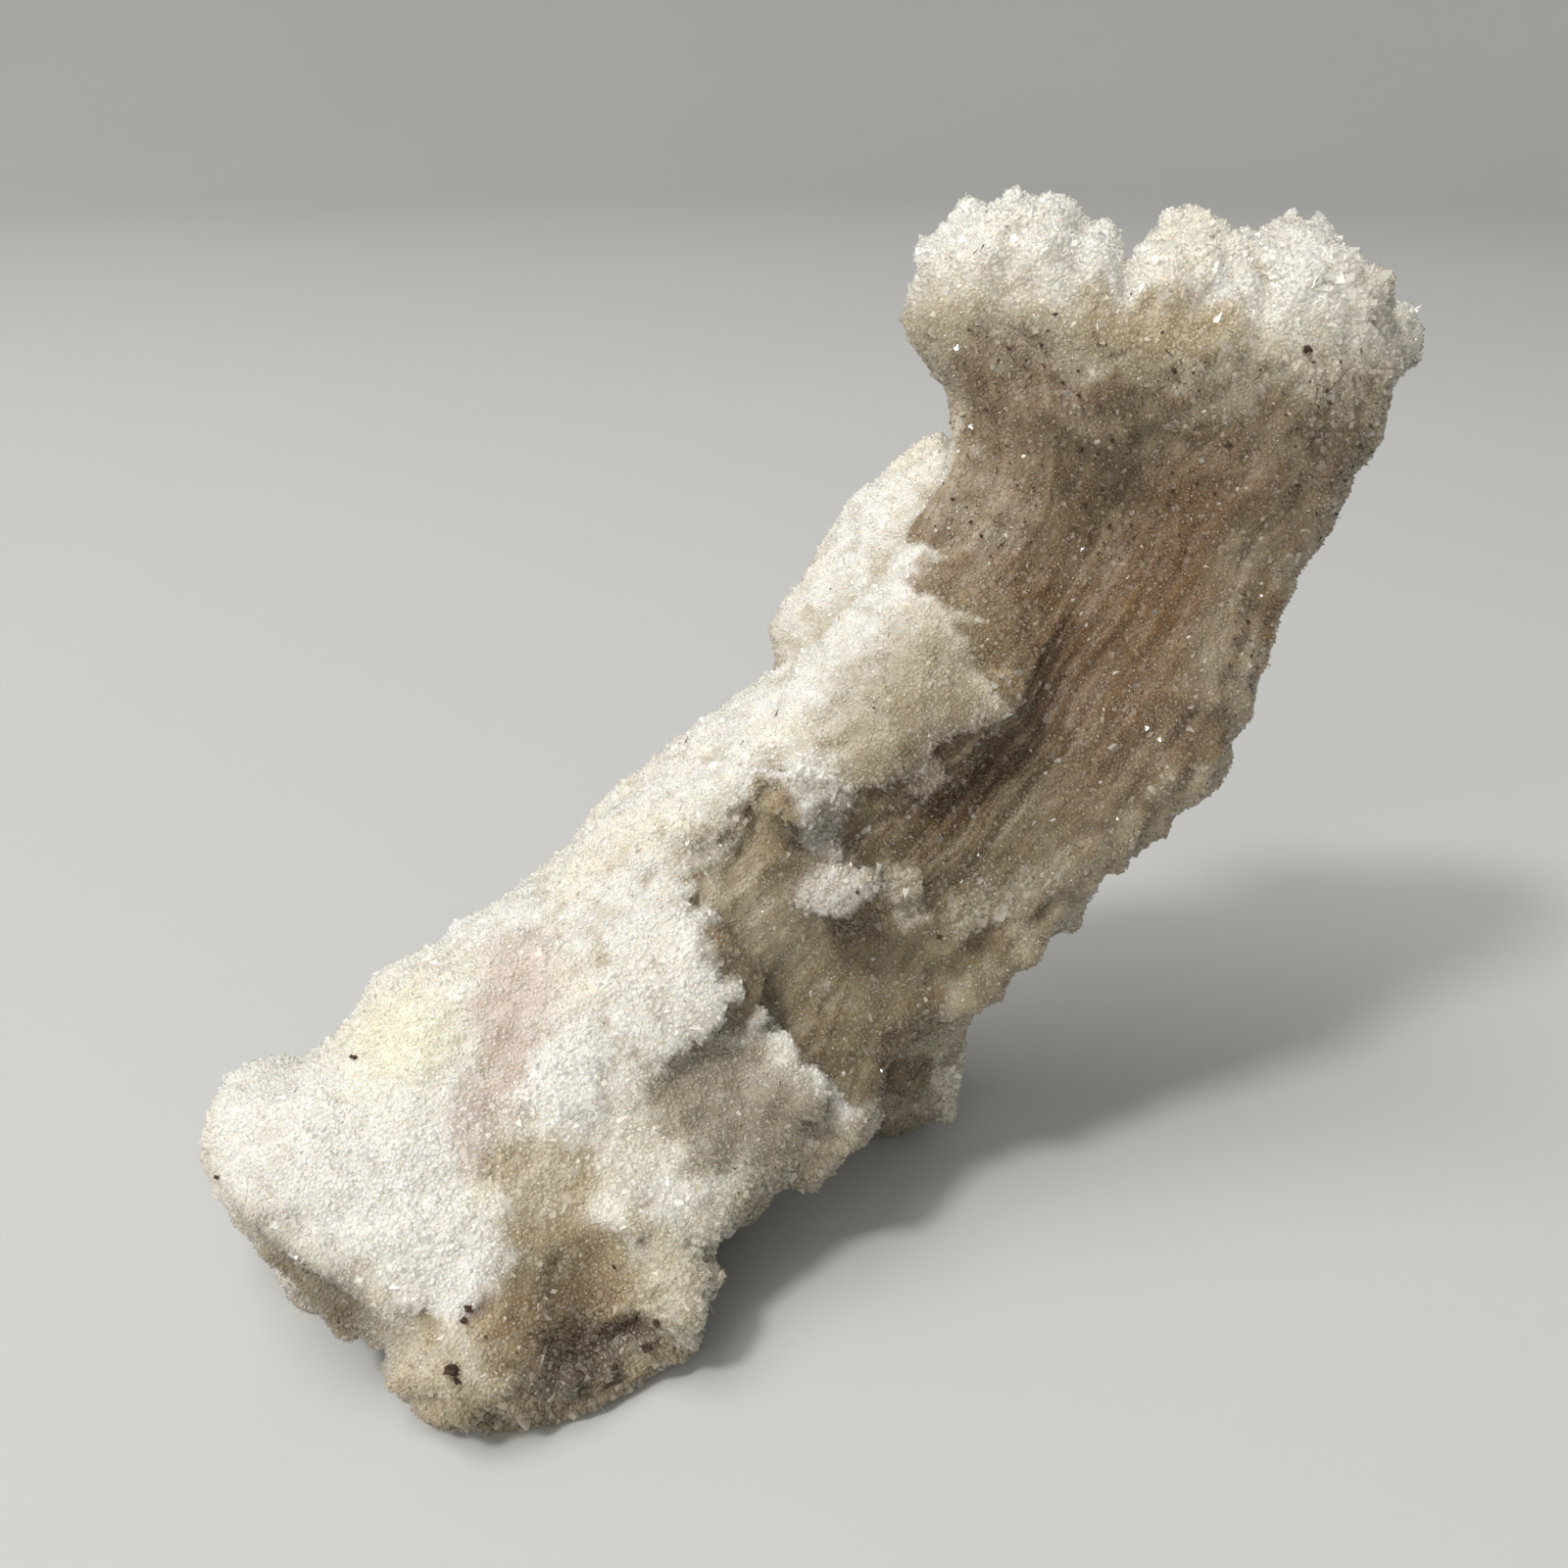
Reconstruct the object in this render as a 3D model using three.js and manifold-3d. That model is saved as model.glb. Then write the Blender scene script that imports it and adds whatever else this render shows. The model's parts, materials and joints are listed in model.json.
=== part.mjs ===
// Ram's horn selenite: one thick, bent horn of gypsum fibres under a sugary crust of small crystals.
// It rests on low lobes of its head and belly, and its flared, scalloped end stands in the air.
// Millimetres, +Z up. The horn runs from the head at -X to the flared end at +X.
import * as THREE from "three";
import { LoftGeometry } from "three/addons/geometries/LoftGeometry.js";
import { ImprovedNoise } from "three/addons/math/ImprovedNoise.js";
import { mergeVertices } from "three/addons/utils/BufferGeometryUtils.js";
import Module from "manifold-3d";

// Driving dimensions. Stations along the horn's middle line say how far the skin lies from that line on
// four sides: front is the open, fluted side and under is the side turned to the ground.
const stations = [
  { x: -57, y: 7, z: 12, front: 14, under: 8.5, back: 11, crown: 12 },
  { x: -44, y: 3, z: 12.5, front: 15, under: 12, back: 13, crown: 19 },
  { x: -27, y: 2, z: 17.5, front: 15, under: 17.5, back: 14, crown: 20 },
  { x: -10.5, y: 2, z: 27, front: 15, under: 22.5, back: 15, crown: 20 },
  { x: 4, y: 0, z: 38, front: 15, under: 22.5, back: 15, crown: 20 },
  { x: 17, y: -3, z: 50, front: 14, under: 23.5, back: 14, crown: 18 },
  { x: 28, y: -4, z: 63, front: 12, under: 23, back: 12, crown: 17 },
  { x: 36, y: -4, z: 76, front: 11, under: 21.5, back: 11, crown: 20.5 },
  { x: 40, y: -2, z: 87, front: 14, under: 23.5, back: 11, crown: 27 },
  { x: 42, y: 0, z: 94, front: 12, under: 22, back: 10, crown: 24 },
];
const hornLength = 143; // along the middle line
const openSide = new THREE.Vector3(-0.45, -0.79, 0.42); // the way the fluted front looks
const sectionCount = 44;
const pointsAround = 55;
const squareness = 0.85; // under 1 the section is boxier than an ellipse

// Each end's rim, as [angle, mm past the last station], and how far the end bulges beyond it.
const headRim = [[-180, 0], [-90, 2], [-40, 2], [10, 0], [50, -3], [100, -8], [150, -4], [180, 0]];
const headBulge = 7;
const flaredRim = [[-180, -4], [-90, -2], [-50, 0], [-15, -2], [0, -1], [20, -3], [60, -1], [180, -4]];
const flaredBulge = 3.5;

// The bare stretch, where fibres show below the crust: its corners, as [share of the length, angle].
const barePatch = [
  [0.3, 100],
  [0.3, 60],
  [0.315, 10],
  [0.335, -20],
  [0.377, -34],
  [0.44, -30],
  [0.476, -12],
  [0.516, 2],
  [0.575, 10],
  [0.6, -14],
  [0.615, -40],
  [0.64, -74],
  [0.8, -66],
  [0.82, 0],
  [0.84, 62],
  [0.7, 68],
  [0.55, 62],
  [0.42, 66],
  [0.36, 110],
];
const crustThickness = 3;
const crustSlope = 3.5; // mm over which the crust's edge falls
const browSlope = 14; // and mm over which it falls below the flared end, where it is worn soft
const browStart = 0.72; // share of the length where the soft edge begins
const browBlend = 0.06; // and over which it takes over
const arcPerDegree = 0.33; // mm of skin to a degree of angle

// Swells and hollows: share of the length, angle, reach in mm along, spread in degrees, rise in mm.
const swells = [
  { at: 0.14, angle: 44, reach: 21, spread: 34, rise: 9 }, // the skirt that comes down to the front foot
  { at: 0.72, angle: 5, reach: 24, spread: 46, rise: -3.5 }, // the flute of the neck
  { at: 0.56, angle: 28, reach: 22, spread: 20, rise: -3 }, // its run down the horn
  { at: 0.55, angle: 14, reach: 9, spread: 6, rise: -2 }, // the cleft under the shoulder's edge
  { at: 0.43, angle: 6, reach: 9, spread: 7, rise: -2 }, // and lower down
  { at: 0.36, angle: 20, reach: 10, spread: 16, rise: -1.5 }, // the hollow beside the lower ledge
  { at: 0.83, angle: 5, reach: 6, spread: 70, rise: 2 }, // the brow
  { at: 0.24, angle: -10, reach: 12, spread: 22, rise: 1.5 }, // the swell over the belly
  { at: 0.52, angle: -30, reach: 16, spread: 18, rise: 1 }, // the shoulder
  { at: 0.66, angle: 168, reach: 15, spread: 28, rise: -3 }, // the back, hollow below the flared end
  { at: 0.5, angle: -150, reach: 10, spread: 20, rise: 2 }, // and lumpy below that
  { at: 0.34, angle: 176, reach: 12, spread: 30, rise: 2.5 },
  { at: 0.2, angle: 158, reach: 9, spread: 26, rise: -2.5 },
];
const fibreCount = 19; // grooves around the bare stretch
const fibreDepth = 0.45;
const unevenness = [
  { size: 13, rise: 2 },
  { size: 6, rise: 1.1 },
];

// Lobes and ledges grown on the horn: centre, half-sizes, turn in degrees, and frills as [count, share
// of the size]. detail is how finely a lobe is faceted.
const lobes = {
  headTip: { at: [-58, 9.5, 12.5], half: [7, 9, 9], detail: 3 },
  backFoot: { at: [-55, 3, 5.5], half: [7, 6, 8], detail: 3 },
  frontFoot: {
    at: [-39.5, -18, 6],
    half: [16, 11, 9.5],
    turned: [0, -8, -8],
    frills: [7, 0.05],
    dent: { toward: [0.3, -0.85, 0.6], reach: 0.75, depth: 3.5 },
    detail: 5,
  },
  farFoot: { at: [9.5, 0.5, 17.5], half: [8.7, 12, 20], turned: [0, 4, 0], frills: [5, 0.06], detail: 4 },
  shelf: { at: [-13, -14, 18], half: [11, 10, 3.6], turned: [70, -15, 0], frills: [8, 0.09], detail: 4 },
  shelfNub: { at: [-17, -15.5, 8], half: [2.2, 2.2, 3], detail: 1 },
  lowerPlate: { at: [-20.5, -9, 30.5], half: [8, 7.5, 3], turned: [62, -30, 0], frills: [9, 0.1], detail: 3 },
  leaf: { at: [-4.8, -9.5, 39.5], half: [5.5, 1.8, 2.8], turned: [-30, -15, 0], detail: 2 },
  ledgeLump: { at: [-4.6, -5.5, 47], half: [3.3, 2.2, 3.4], detail: 2 },
  backFin: { at: [15, 14, 60.5], half: [19, 9, 6.5], turned: [0, -56, 0], frills: [9, 0.08], detail: 4 },
  finTip: { at: [9, 17, 56], half: [4.5, 5, 5], detail: 1 },
  backCrust: { at: [-18, 12, 27], half: [16, 6, 9], turned: [0, -35, -5], frills: [7, 0.06], detail: 3 },
  rimLeft: { at: [29, 6, 93], half: [12, 11, 8.5], turned: [0, 5, -25], frills: [7, 0.06], detail: 4 },
  rimMiddle: { at: [42.5, -1, 94], half: [4.6, 9, 7], turned: [0, 0, -25], detail: 3 },
  rimRight: { at: [53.5, -6, 91], half: [7.5, 9.5, 8], turned: [0, 20, -30], frills: [5, 0.06], detail: 3 },
  rimTip: { at: [61.5, -11.5, 87], half: [4.2, 4, 4.5], detail: 2 },
};

const noise = new ImprovedNoise();
const rad = THREE.MathUtils.degToRad;

const wasm = await Module();
wasm.setup();

// --- the middle line ----------------------------------------------------------------------------

// One key's value along the stations, as a smooth curve, at u from 0 to 1.
function along(key, u) {
  const last = stations.length - 1;
  const place = u * last;
  const i = Math.min(Math.floor(place), last - 1);
  const f = place - i;
  const at = (n) => stations[THREE.MathUtils.clamp(n, 0, last)][key];
  const [a, b, c, d] = [at(i - 1), at(i), at(i + 1), at(i + 2)];
  return b + 0.5 * f * (c - a + f * (2 * a - 5 * b + 4 * c - d + f * (3 * (b - c) + d - a)));
}

function direction(u) {
  const step = 0.03;
  const low = Math.max(u - step, 0);
  const high = Math.min(u + step, 1);
  const span = (key) => along(key, high) - along(key, low);
  return new THREE.Vector3(span("x"), span("y"), span("z")).normalize();
}

// The middle line's point, which runs on straight past either end.
function middle(u) {
  const inside = THREE.MathUtils.clamp(u, 0, 1);
  const point = new THREE.Vector3(along("x", inside), along("y", inside), along("z", inside));
  return point.addScaledVector(direction(inside), (u - inside) * hornLength);
}

// --- relief: angle 0 is the front, 90 the underside, 180 the back and -90 the crown --------------------

// The value at a place in a list of [place, value], straight between its entries.
function between(list, place) {
  const next = Math.max(list.findIndex(([p]) => p >= place), 1);
  const [[p0, v0], [p1, v1]] = [list[next - 1], list[next]];
  return THREE.MathUtils.mapLinear(place, p0, p1, v0, v1);
}

// Millimetres from the skin point to the bare patch's border, positive on the crust outside it.
function distanceFromPatch(u, angle) {
  const flat = ([place, turned]) => new THREE.Vector3(place * hornLength, turned * arcPerDegree, 0);
  const corners = barePatch.map(flat);
  const here = flat([u, angle]);
  let nearest = Infinity;
  let inside = false;
  corners.forEach((corner, i) => {
    const next = corners[(i + 1) % corners.length];
    const closest = new THREE.Line3(corner, next).closestPointToPoint(here, true, new THREE.Vector3());
    nearest = Math.min(nearest, closest.distanceTo(here));
    if (corner.y > here.y !== next.y > here.y) {
      const crossing = THREE.MathUtils.mapLinear(here.y, corner.y, next.y, corner.x, next.x);
      if (here.x < crossing) inside = !inside;
    }
  });
  return inside ? -nearest : nearest;
}

const bump = (distance) => Math.exp(-distance * distance);

// How far the skin stands off the plain section at a place and angle.
function relief(u, angle) {
  const outside = distanceFromPatch(u, angle);
  const worn = THREE.MathUtils.smoothstep(u, browStart, browStart + browBlend);
  const slope = THREE.MathUtils.lerp(crustSlope, browSlope, worn);
  const covered = THREE.MathUtils.smoothstep(outside, -slope / 2, slope / 2);
  let rise = crustThickness * (covered - 1);
  rise += fibreDepth * (1 - covered) * Math.sin(fibreCount * rad(angle));
  for (const swell of swells) {
    const away = ((u - swell.at) * hornLength) / swell.reach;
    const aside = THREE.MathUtils.euclideanModulo(angle - swell.angle + 180, 360) - 180;
    rise += swell.rise * bump(away) * bump(aside / swell.spread);
  }
  return rise;
}

// Uneven skin: lumps of each size, pushed along the way the point faces from a centre.
function roughen(point, centre, amount = 1) {
  const outward = point.clone().sub(centre).normalize();
  const place = point.clone();
  for (const { size, rise } of unevenness) {
    const height = rise * noise.noise(place.x / size, place.y / size, place.z / size);
    point.addScaledVector(outward, amount * height);
  }
  return point;
}

// A point of the horn's skin: u from 0 to 1 along it, angle in degrees. Beyond the rim at either end the
// skin closes over, and inward runs there from 0 at the rim to 1 near the end's middle.
function skinPoint(u, angle, inward = 0) {
  const start = -between(headRim, angle) / hornLength;
  const finish = 1 + between(flaredRim, angle) / hornLength;
  const bulge = (u < 0.5 ? -headBulge : flaredBulge) / hornLength;
  const place = THREE.MathUtils.lerp(start, finish, u) + bulge * Math.sin(rad(90 * inward));
  const inside = THREE.MathUtils.clamp(place, 0, 1);
  const tangent = direction(inside);
  const front = openSide.clone().addScaledVector(tangent, -openSide.dot(tangent)).normalize();
  const under = tangent.clone().cross(front);
  const c = Math.cos(rad(angle));
  const s = Math.sin(rad(angle));
  const deep = along(c > 0 ? "front" : "back", inside);
  const wide = along(s > 0 ? "under" : "crown", inside);
  const soft = (value) => Math.sign(value) * Math.abs(value) ** squareness;
  const out = front.multiplyScalar(deep * soft(c)).addScaledVector(under, wide * soft(s));
  const length = out.length();
  const size = Math.cos(rad(75 * inward));
  out.multiplyScalar((size * (length + (1 - inward) * relief(place, angle))) / length);
  const centre = middle(place);
  return roughen(centre.clone().add(out), centre, 1 - inward);
}

function hornGeometry() {
  const ring = (u, inward = 0) => {
    const angles = Array.from({ length: pointsAround }, (_, i) => (360 * i) / pointsAround - 180);
    return angles.map((angle) => skinPoint(u, angle, inward));
  };
  const inwardSteps = [0.25, 0.5, 0.75, 1];
  const sections = [
    ...inwardSteps.toReversed().map((inward) => ring(0, inward)),
    ...Array.from({ length: sectionCount }, (_, i) => ring(i / (sectionCount - 1))),
    ...inwardSteps.map((inward) => ring(1, inward)),
  ];
  return new LoftGeometry(sections, { capStart: true, capEnd: true });
}

// --- lobes and ledges fused to the horn ------------------------------------------------------------

const lobeRoughness = 0.6; // share of the horn's own unevenness

// A lumpy ellipsoid. Frills are shallow scallops around its edge, and a dent is a hollow on one side.
function lobeGeometry({ at, half, turned = [0, 0, 0], frills = [0, 0], dent, detail }) {
  const [frillCount, frillDepth] = frills;
  const geometry = new THREE.IcosahedronGeometry(1, detail);
  const position = geometry.getAttribute("position");
  const rotation = new THREE.Euler(...turned.map(rad));
  const centre = new THREE.Vector3(...at);
  const point = new THREE.Vector3();
  for (let i = 0; i < position.count; i++) {
    point.fromBufferAttribute(position, i);
    const wave = Math.hypot(point.x, point.y) * Math.sin(frillCount * Math.atan2(point.y, point.x));
    const scallop = 1 + frillDepth * wave;
    point.multiply(new THREE.Vector3(half[0] * scallop, half[1] * scallop, half[2]));
    point.applyEuler(rotation);
    if (dent) {
      const toward = new THREE.Vector3(...dent.toward).normalize();
      const sunk = dent.depth * bump(point.angleTo(toward) / dent.reach);
      point.setLength(point.length() - sunk);
    }
    point.add(centre);
    roughen(point, centre, lobeRoughness);
    position.setXYZ(i, point.x, point.y, point.z);
  }
  return geometry;
}

// --- building ---------------------------------------------------------------------------------

function solidOf(geometry) {
  geometry.deleteAttribute("normal");
  geometry.deleteAttribute("uv");
  const merged = mergeVertices(new THREE.BufferGeometry().copy(geometry), 1e-4);
  return new wasm.Manifold(
    new wasm.Mesh({
      numProp: 3,
      vertProperties: merged.getAttribute("position").array,
      triVerts: new Uint32Array(merged.index.array),
    }),
  );
}

function geometryOf(solid) {
  const mesh = solid.getMesh();
  return new THREE.BufferGeometry()
    .setAttribute("position", new THREE.BufferAttribute(mesh.vertProperties, 3))
    .setIndex(new THREE.BufferAttribute(mesh.triVerts, 1));
}

let solid = solidOf(hornGeometry());
for (const lobe of Object.values(lobes)) {
  solid = solid.add(solidOf(lobeGeometry(lobe)));
}
const ground = new THREE.BoxGeometry(400, 400, 100).translate(0, 0, -50);
solid = solid.subtract(solidOf(ground));

// The origin is the middle of the base.
const specimenGeometry = geometryOf(solid);
specimenGeometry.computeBoundingBox();
const middleOfBox = specimenGeometry.boundingBox.getCenter(new THREE.Vector3());
specimenGeometry.translate(-middleOfBox.x, -middleOfBox.y, 0);

const specimen = new THREE.Mesh(
  specimenGeometry,
  new THREE.MeshStandardMaterial({ color: 0xe6ddcd, roughness: 0.6, metalness: 0 }),
);
specimen.name = "selenite_horn";

const group = new THREE.Group();
group.add(specimen);
export default group;
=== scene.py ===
import json
import math

import bmesh
import bpy
import numpy as np
from mathutils import Matrix, Vector, noise

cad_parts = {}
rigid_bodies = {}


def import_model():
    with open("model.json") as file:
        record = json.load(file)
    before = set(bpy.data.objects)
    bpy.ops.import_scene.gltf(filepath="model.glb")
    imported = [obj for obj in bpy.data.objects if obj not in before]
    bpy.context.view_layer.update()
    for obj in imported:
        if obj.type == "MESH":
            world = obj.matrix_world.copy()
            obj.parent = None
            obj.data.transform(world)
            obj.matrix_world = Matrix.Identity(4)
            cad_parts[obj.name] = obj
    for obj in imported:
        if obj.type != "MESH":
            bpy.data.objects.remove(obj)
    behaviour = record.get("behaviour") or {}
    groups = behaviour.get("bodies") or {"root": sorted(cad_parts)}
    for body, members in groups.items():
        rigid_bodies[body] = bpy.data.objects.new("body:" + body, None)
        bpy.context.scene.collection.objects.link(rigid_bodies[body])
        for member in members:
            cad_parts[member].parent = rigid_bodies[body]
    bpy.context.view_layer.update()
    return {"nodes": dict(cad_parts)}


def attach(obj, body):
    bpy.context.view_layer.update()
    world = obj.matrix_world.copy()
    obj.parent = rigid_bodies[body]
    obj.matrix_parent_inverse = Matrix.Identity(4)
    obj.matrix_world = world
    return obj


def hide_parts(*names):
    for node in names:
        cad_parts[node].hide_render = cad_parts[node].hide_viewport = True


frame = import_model()
hornNode = frame["nodes"]["selenite_horn"]
mm = 0.001


class Wire:
    # a socket that does its sums with Math nodes
    def __init__(self, sheet, socket):
        self.sheet = sheet
        self.socket = socket

    def __add__(self, other):
        return self.sheet.sum("ADD", self, other)

    def __mul__(self, other):
        return self.sheet.sum("MULTIPLY", self, other)

    def __sub__(self, other):
        return self.sheet.sum("SUBTRACT", self, other)

    def __rsub__(self, other):
        return self.sheet.sum("SUBTRACT", other, self)

    __radd__ = __add__
    __rmul__ = __mul__


class Outputs:
    # a node's outputs by name
    def __init__(self, sheet, node):
        self.sheet = sheet
        self.node = node

    def __getitem__(self, name):
        return Wire(self.sheet, next(s for s in self.node.outputs if s.enabled and s.name == name))


class NodeSheet:
    # adds nodes to one tree
    def __init__(self, tree):
        self.tree = tree

    def node(self, kind, settings=None, inputs=None):
        node = self.tree.nodes.new(kind)
        for name, value in (settings or {}).items():
            setattr(node, name, value)
        for name, value in (inputs or {}).items():
            sockets = [s for s in node.inputs if s.enabled]
            socket = sockets[name] if isinstance(name, int) else next(s for s in sockets if s.name == name)
            if isinstance(value, Wire):
                self.tree.links.new(value.socket, socket)
            else:
                socket.default_value = value
        return Outputs(self, node)

    def sum(self, operation, a, b):
        return self.node("ShaderNodeMath", {"operation": operation}, {0: a, 1: b})["Value"]

    def noise(self, place, scale, detail):
        inputs = {"Vector": place, "Scale": scale, "Detail": detail}
        return self.node("ShaderNodeTexNoise", {}, inputs)["Fac"]

    def clamp(self, value):
        return self.node("ShaderNodeClamp", {}, {"Value": value})["Result"]

    def mixColour(self, factor, a, b, blend="MIX"):
        settings = {"data_type": "RGBA", "blend_type": blend}
        return self.node("ShaderNodeMix", settings, {"Factor": factor, "A": a, "B": b})["Result"]

    def remap(self, value, fromLow, fromHigh, toLow, toHigh):
        inputs = {
            "Value": value, "From Min": fromLow, "From Max": fromHigh, "To Min": toLow, "To Max": toHigh}
        return self.node("ShaderNodeMapRange", {"interpolation_type": "SMOOTHSTEP"}, inputs)["Result"]


def smoothStep(low, high, value):
    t = np.clip((value - low) / (high - low), 0, 1)
    return t * t * (3 - 2 * t)


def bell(distance):
    return np.exp(-distance * distance)


def noiseAt(points, size, shift=0.0):
    return np.array([noise.noise(p) for p in points / size + shift])


def pebblesAt(points, size, shift=0.0):
    nearest = np.array([noise.voronoi(p)[0][0] for p in points / size + shift])
    return 1 - np.clip(nearest, 0, 1)


def readPoints(mesh, source="vertices", key="co"):
    values = np.empty(len(mesh.vertices) * 3)
    getattr(mesh, source).foreach_get(key, values)
    return values.reshape(-1, 3)


def writePoints(mesh, points):
    mesh.vertices.foreach_set("co", (points * mm).astype(np.float32).ravel())
    mesh.update()


def storeNumber(mesh, name, values):
    layer = mesh.attributes.new(name, "FLOAT", "POINT")
    layer.data.foreach_set("value", values.astype(np.float32))


def storeVector(mesh, name, vectors):
    layer = mesh.attributes.new(name, "FLOAT_VECTOR", "POINT")
    layer.data.foreach_set("vector", vectors.astype(np.float32).ravel())


def storeColour(mesh, name, colours):
    layer = mesh.color_attributes.new(name, "FLOAT_COLOR", "POINT")
    layer.data.foreach_set("color", np.c_[colours, np.ones(len(colours))].astype(np.float32).ravel())


def addObject(name, mesh):
    thing = bpy.data.objects.new(name, mesh)
    bpy.context.scene.collection.objects.link(thing)
    return thing


def settle(thing):
    # the modifiers' result as a plain mesh
    bpy.context.view_layer.update()
    shown = thing.evaluated_get(bpy.context.evaluated_depsgraph_get())
    mesh = bpy.data.meshes.new_from_object(shown)
    thing.modifiers.clear()
    thing.data = mesh
    return thing


class Blur:
    # spreads a value over the skin by averaging each point's neighbours
    def __init__(self, mesh):
        ends = np.empty(len(mesh.edges) * 2, np.int32)
        mesh.edges.foreach_get("vertices", ends)
        self.a, self.b = ends[0::2], ends[1::2]
        self.count = len(mesh.vertices)
        self.degree = np.bincount(ends, minlength=self.count)

    def once(self, values):
        total = np.bincount(self.a, values[self.b], self.count)
        total += np.bincount(self.b, values[self.a], self.count)
        return total / self.degree

    def spread(self, values, times):
        columns = values.reshape(self.count, -1).T
        for _ in range(times):
            columns = [self.once(column) for column in columns]
        return np.array(columns).T.reshape(values.shape)


# the horn's own coordinates are a share of its length, and an angle round it:
# 0 is the open front, 90 the underside, 180 the back and -90 the crown; all in millimetres
hornLine = {
    "stations": np.array([  # x, y, z, and how far the skin lies to the front, under, back and crown
        (-57.11, 9.24, 12, 14, 8.5, 11, 12),
        (-44.11, 5.24, 12.5, 15, 12, 13, 19),
        (-27.11, 4.24, 17.5, 15, 17.5, 14, 20),
        (-10.61, 4.24, 27, 15, 22.5, 15, 20),
        (3.89, 2.24, 38, 15, 22.5, 15, 20),
        (16.89, -0.76, 50, 14, 23.5, 14, 18),
        (27.89, -1.76, 63, 12, 23, 12, 17),
        (35.89, -1.76, 76, 11, 21.5, 11, 20.5),
        (39.89, 0.24, 87, 14, 23.5, 11, 27),
        (41.89, 2.24, 94, 12, 22, 10, 24),
    ]),
    "openSide": np.array((-0.45, -0.79, 0.42)),
    "length": 143,
    "squareness": 0.85,
    "arcPerDegree": 0.33,
    "barePatch": np.array([  # corners of the stretch with no crust, as share of the length and angle
        (0.345, 100), (0.34, 62), (0.325, 30), (0.315, 8), (0.335, -16), (0.377, -26), (0.43, -22),
        (0.476, -8), (0.516, 2), (0.575, 4), (0.6, -22), (0.612, -44), (0.63, -80), (0.8, -66), (0.82, 0),
        (0.84, 62), (0.7, 68), (0.55, 62), (0.42, 66), (0.36, 110),
    ]),
}


def alongLine(u):
    stations = hornLine["stations"]
    last = len(stations) - 1
    place = np.clip(u, 0, 1) * last
    i = np.minimum(np.floor(place).astype(int), last - 1)
    f = (place - i)[:, None]
    a, b, c, d = (stations[np.clip(i + step, 0, last)] for step in (-1, 0, 1, 2))
    return b + 0.5 * f * (c - a + f * (2 * a - 5 * b + 4 * c - d + f * (3 * (b - c) + d - a)))


def placeOnHorn(points):
    u = np.linspace(0, 1, 361)
    rows = alongLine(u)
    centres = rows[:, :3]
    tangents = alongLine(np.minimum(u + 0.03, 1))[:, :3] - alongLine(np.maximum(u - 0.03, 0))[:, :3]
    tangents /= np.linalg.norm(tangents, axis=1)[:, None]
    front = hornLine["openSide"] - tangents * (tangents @ hornLine["openSide"])[:, None]
    front /= np.linalg.norm(front, axis=1)[:, None]
    under = np.cross(tangents, front)
    nearest = np.concatenate([
        np.argmin(((part[:, None] - centres[None]) ** 2).sum(2), 1)
        for part in np.array_split(points, 40)
    ])
    away = points - centres[nearest]
    c = (away * front[nearest]).sum(1)
    s = (away * under[nearest]).sum(1)
    row = rows[nearest]
    c /= np.where(c > 0, row[:, 3], row[:, 5])
    s /= np.where(s > 0, row[:, 4], row[:, 6])
    power = 1 / hornLine["squareness"]
    angle = np.degrees(np.arctan2(np.sign(s) * abs(s) ** power, np.sign(c) * abs(c) ** power))
    past = (away * tangents[nearest]).sum(1) / hornLine["length"]
    return u[nearest] + past, angle


def depthInside(here, corners):
    # how far each place lies inside an outline, negative outside it
    nearest = np.full(len(here), 1e9)
    inside = np.zeros(len(here), bool)
    for corner, after in zip(corners, np.roll(corners, -1, 0)):
        side = after - corner
        t = np.clip(((here - corner) @ side) / (side @ side), 0, 1)
        nearest = np.minimum(nearest, np.linalg.norm(here - corner - t[:, None] * side, axis=1))
        crosses = (corner[1] > here[:, 1]) != (after[1] > here[:, 1])
        rise = after[1] - corner[1] or 1e-9
        inside ^= crosses & (here[:, 0] < corner[0] + (here[:, 1] - corner[1]) * side[0] / rise)
    return np.where(inside, nearest, -nearest)


def distanceFromPatch(u, angle):
    scale = np.array((hornLine["length"], hornLine["arcPerDegree"]))
    return -depthInside(np.c_[u, angle] * scale, hornLine["barePatch"] * scale)


frontAxes = np.array(((0.866, -0.5, 0), (0.211, 0.366, 0.906)))  # across the open front, and up it

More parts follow.
